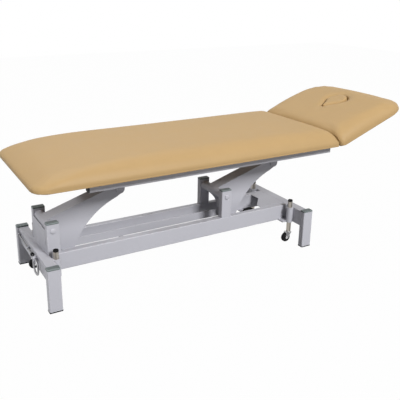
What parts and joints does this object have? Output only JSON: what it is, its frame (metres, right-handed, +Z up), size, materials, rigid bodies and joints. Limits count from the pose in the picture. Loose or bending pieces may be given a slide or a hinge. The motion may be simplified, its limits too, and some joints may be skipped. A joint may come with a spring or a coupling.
{
  "type": "examination couch",
  "caption": "Height-adjustable examination couch: padded main section and tilting head section with a nose plug, on lifting arms, with a pedal that lowers casters.",
  "frame": {"origin": "on the floor, under the centre of the whole couch's bounding box", "axes": "+X towards the head end, +Y towards the right-hand side of someone lying on their back, +Z up"},
  "size_m": [2.1016, 0.696, 0.7798],
  "materials": {
    "powder_coat": "satin light grey powder coat",
    "cap_plastic": "matt dark grey-green moulded plastic",
    "vinyl": "tan vinyl upholstery with a fine leather grain",
    "plywood": "plain plywood",
    "zinc_steel": "zinc plated steel",
    "black_rubber": "matt black rubber",
    "fork_steel": "bright plated steel",
    "dark_plastic": "matt black moulded plastic"
  },
  "bodies": {
    "base": {"actuator_mount": "powder_coat", "base_rail_left": "powder_coat", "base_rail_right": "powder_coat", "control_box": "dark_plastic", "control_box_strap": "powder_coat", "foot_arm_axle": "powder_coat", "foot_crossbeam": "powder_coat", "head_arm_axle": "powder_coat", "head_crossbeam": "powder_coat", "head_deck_plate": "powder_coat", "leg_cap_foot_left": "cap_plastic", "leg_cap_foot_right": "cap_plastic", "leg_cap_head_left": "cap_plastic", "leg_cap_head_right": "cap_plastic", "leg_foot_left": "powder_coat", "leg_foot_right": "powder_coat", "leg_head_left": "powder_coat", "leg_head_right": "powder_coat", "post_cap_foot_left": "cap_plastic", "post_cap_foot_right": "cap_plastic", "post_cap_head_left": "cap_plastic", "post_cap_head_right": "cap_plastic", "post_foot_left": "powder_coat", "post_foot_right": "powder_coat", "post_head_left": "powder_coat", "post_head_right": "powder_coat"},
    "foot_arm": {"foot_arm": "powder_coat"},
    "head_arm": {"head_arm": "powder_coat"},
    "tie_bars": {"tie_bar_left": "powder_coat", "tie_bar_right": "powder_coat"},
    "actuator_body": {"actuator_body": "dark_plastic"},
    "actuator_rod": {"actuator_rod": "zinc_steel"},
    "top_frame": {"top_rail_left": "powder_coat", "top_rail_right": "powder_coat", "top_crossbar_foot": "powder_coat", "top_crossbar_head": "powder_coat", "foot_arm_carrier": "powder_coat", "head_arm_carrier": "powder_coat", "foot_arm_top_pin": "zinc_steel", "head_arm_top_pin": "zinc_steel", "main_board": "plywood", "main_cushion": "vinyl"},
    "head_section": {"head_bar_left": "powder_coat", "head_bar_right": "powder_coat", "head_board": "plywood", "head_cushion": "vinyl"},
    "nose_plug": {"nose_plug": "vinyl"},
    "caster_pedal": {"caster_pedal": "zinc_steel"},
    "stem_foot_left": {"caster_stem_foot_left": "zinc_steel"},
    "fork_foot_left": {"caster_fork_foot_left": "fork_steel"},
    "wheel_foot_left": {"caster_wheel_foot_left": "black_rubber"},
    "stem_foot_right": {"caster_stem_foot_right": "zinc_steel"},
    "fork_foot_right": {"caster_fork_foot_right": "fork_steel"},
    "wheel_foot_right": {"caster_wheel_foot_right": "black_rubber"},
    "stem_head_left": {"caster_stem_head_left": "zinc_steel"},
    "fork_head_left": {"caster_fork_head_left": "fork_steel"},
    "wheel_head_left": {"caster_wheel_head_left": "black_rubber"},
    "stem_head_right": {"caster_stem_head_right": "zinc_steel"},
    "fork_head_right": {"caster_fork_head_right": "fork_steel"},
    "wheel_head_right": {"caster_wheel_head_right": "black_rubber"}
  },
  "joints": [
    {"name": "lift", "type": "hinge", "parent": "base", "child": "foot_arm", "pos_m": [-0.92498, 0, 0.3195], "axis": [0, -1, 0], "range_deg": [-24, 38]},
    {"name": "head_arm_lift", "type": "hinge", "parent": "base", "child": "head_arm", "pos_m": [0.00902, 0, 0.3195], "axis": [0, -1, 0], "range_deg": [-24, 38]},
    {"name": "top_level", "type": "hinge", "parent": "foot_arm", "child": "top_frame", "pos_m": [-0.56066, 0, 0.43437], "axis": [0, -1, 0], "range_deg": [-38, 24]},
    {"name": "tie_bar_level", "type": "hinge", "parent": "foot_arm", "child": "tie_bars", "pos_m": [-0.85298, 0, 0.1545], "axis": [0, -1, 0], "range_deg": [-38, 24]},
    {"name": "actuator_tilt", "type": "hinge", "parent": "base", "child": "actuator_body", "pos_m": [-0.47873, 0, 0.1245], "axis": [0, -1, 0], "range_deg": [-4.13, 6.48]},
    {"name": "actuator_stroke", "type": "slide", "parent": "actuator_body", "child": "actuator_rod", "axis": [1, 0, 0], "range_m": [-0.0763, 0.1205]},
    {"name": "head_tilt", "type": "hinge", "parent": "top_frame", "child": "head_section", "pos_m": [0.57427, 0, 0.5623], "axis": [0, -1, 0], "range_deg": [-50.6, 0]},
    {"name": "nose_plug_lift", "type": "slide", "parent": "head_section", "child": "nose_plug", "axis": [-0.3518, 0, 0.9361], "range_m": [0, 0.12]},
    {"name": "pedal_swing", "type": "hinge", "parent": "base", "child": "caster_pedal", "pos_m": [-1.00173, -0.076, 0.178], "axis": [0, 1, 0], "range_deg": [0, 25]},
    {"name": "stem_drop_foot_left", "type": "slide", "parent": "base", "child": "stem_foot_left", "axis": [0, 0, -1], "range_m": [0, 0.0152]},
    {"name": "swivel_foot_left", "type": "hinge", "parent": "stem_foot_left", "child": "fork_foot_left", "pos_m": [-0.93173, -0.174, 0.0285], "axis": [0, 0, 1], "continuous": true},
    {"name": "roll_foot_left", "type": "hinge", "parent": "fork_foot_left", "child": "wheel_foot_left", "pos_m": [-0.94973, -0.174, 0.0285], "axis": [0, 1, 0], "continuous": true},
    {"name": "stem_drop_foot_right", "type": "slide", "parent": "base", "child": "stem_foot_right", "axis": [0, 0, -1], "range_m": [0, 0.0152]},
    {"name": "swivel_foot_right", "type": "hinge", "parent": "stem_foot_right", "child": "fork_foot_right", "pos_m": [-0.93173, 0.174, 0.0285], "axis": [0, 0, 1], "continuous": true},
    {"name": "roll_foot_right", "type": "hinge", "parent": "fork_foot_right", "child": "wheel_foot_right", "pos_m": [-0.94973, 0.174, 0.0285], "axis": [0, 1, 0], "continuous": true},
    {"name": "stem_drop_head_left", "type": "slide", "parent": "base", "child": "stem_head_left", "axis": [0, 0, -1], "range_m": [0, 0.0152]},
    {"name": "swivel_head_left", "type": "hinge", "parent": "stem_head_left", "child": "fork_head_left", "pos_m": [0.40427, -0.174, 0.0285], "axis": [0, 0, 1], "continuous": true},
    {"name": "roll_head_left", "type": "hinge", "parent": "fork_head_left", "child": "wheel_head_left", "pos_m": [0.38627, -0.174, 0.0285], "axis": [0, 1, 0], "continuous": true},
    {"name": "stem_drop_head_right", "type": "slide", "parent": "base", "child": "stem_head_right", "axis": [0, 0, -1], "range_m": [0, 0.0152]},
    {"name": "swivel_head_right", "type": "hinge", "parent": "stem_head_right", "child": "fork_head_right", "pos_m": [0.40427, 0.174, 0.0285], "axis": [0, 0, 1], "continuous": true},
    {"name": "roll_head_right", "type": "hinge", "parent": "fork_head_right", "child": "wheel_head_right", "pos_m": [0.38627, 0.174, 0.0285], "axis": [0, 1, 0], "continuous": true}
  ],
  "couplings": [
    {"joint": "head_arm_lift", "follows": "lift", "ratio": 1},
    {"joint": "top_level", "follows": "lift", "ratio": -1},
    {"joint": "tie_bar_level", "follows": "lift", "ratio": -1},
    {"joint": "actuator_tilt", "follows": "lift", "ratio": 0.168},
    {"joint": "actuator_stroke", "follows": "lift", "m_per_rad": 0.181},
    {"joint": "stem_drop_foot_left", "follows": "pedal_swing", "m_per_rad": 0.03438},
    {"joint": "stem_drop_foot_right", "follows": "pedal_swing", "m_per_rad": 0.03438},
    {"joint": "stem_drop_head_left", "follows": "pedal_swing", "m_per_rad": 0.03438},
    {"joint": "stem_drop_head_right", "follows": "pedal_swing", "m_per_rad": 0.03438}
  ]
}
